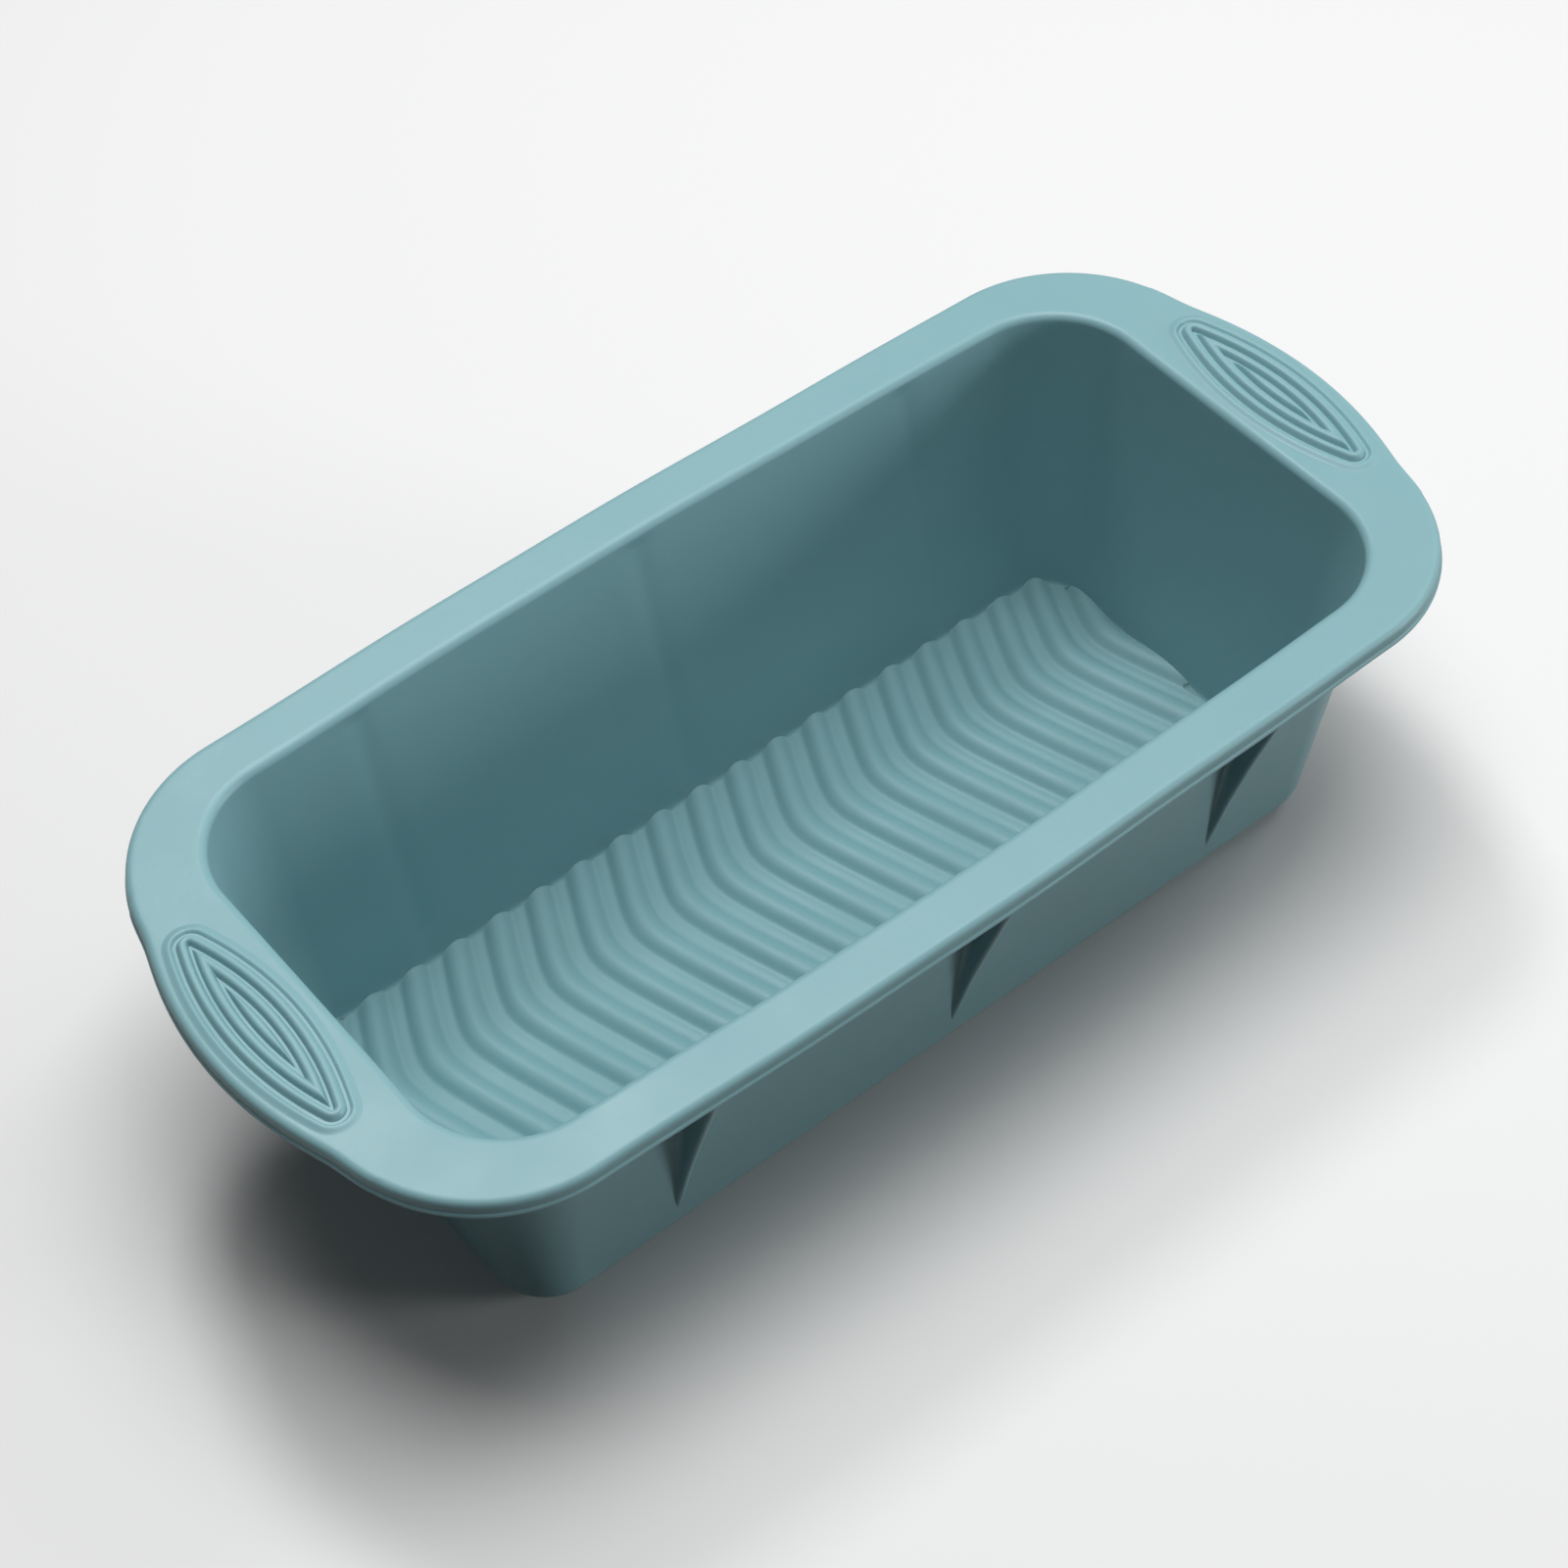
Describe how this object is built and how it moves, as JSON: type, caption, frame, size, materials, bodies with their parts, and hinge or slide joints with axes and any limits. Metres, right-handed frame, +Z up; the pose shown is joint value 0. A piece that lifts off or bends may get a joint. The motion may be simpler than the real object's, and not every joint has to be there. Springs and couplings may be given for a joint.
{
  "type": "silicone soap mould",
  "caption": "Rectangular silicone loaf mould for soap with drafted walls, a wide rim, lens-shaped end grips, side gussets and a floor of bent ridges.",
  "frame": {"origin": "centre of the flat underside the mould rests on", "axes": "+X along the length from the left grip to the right grip, +Y across towards the back gussets, +Z up out of the open top"},
  "size_m": [0.273, 0.1318, 0.0738],
  "materials": {
    "silicone": "satin",
    "silicone_inside": "satin"
  },
  "bodies": {
    "root": {"grip_core_left": "silicone", "grip_core_right": "silicone", "grip_pad_left": "silicone", "grip_pad_right": "silicone", "grip_ridge_left_1": "silicone", "grip_ridge_left_2": "silicone", "grip_ridge_left_3": "silicone", "grip_ridge_right_1": "silicone", "grip_ridge_right_2": "silicone", "grip_ridge_right_3": "silicone", "gusset_back_1": "silicone", "gusset_back_2": "silicone", "gusset_back_3": "silicone", "gusset_front_1": "silicone", "gusset_front_2": "silicone", "gusset_front_3": "silicone", "ridged_floor": "silicone_inside", "rim": "silicone", "tray_walls": "silicone"}
  },
  "joints": []
}
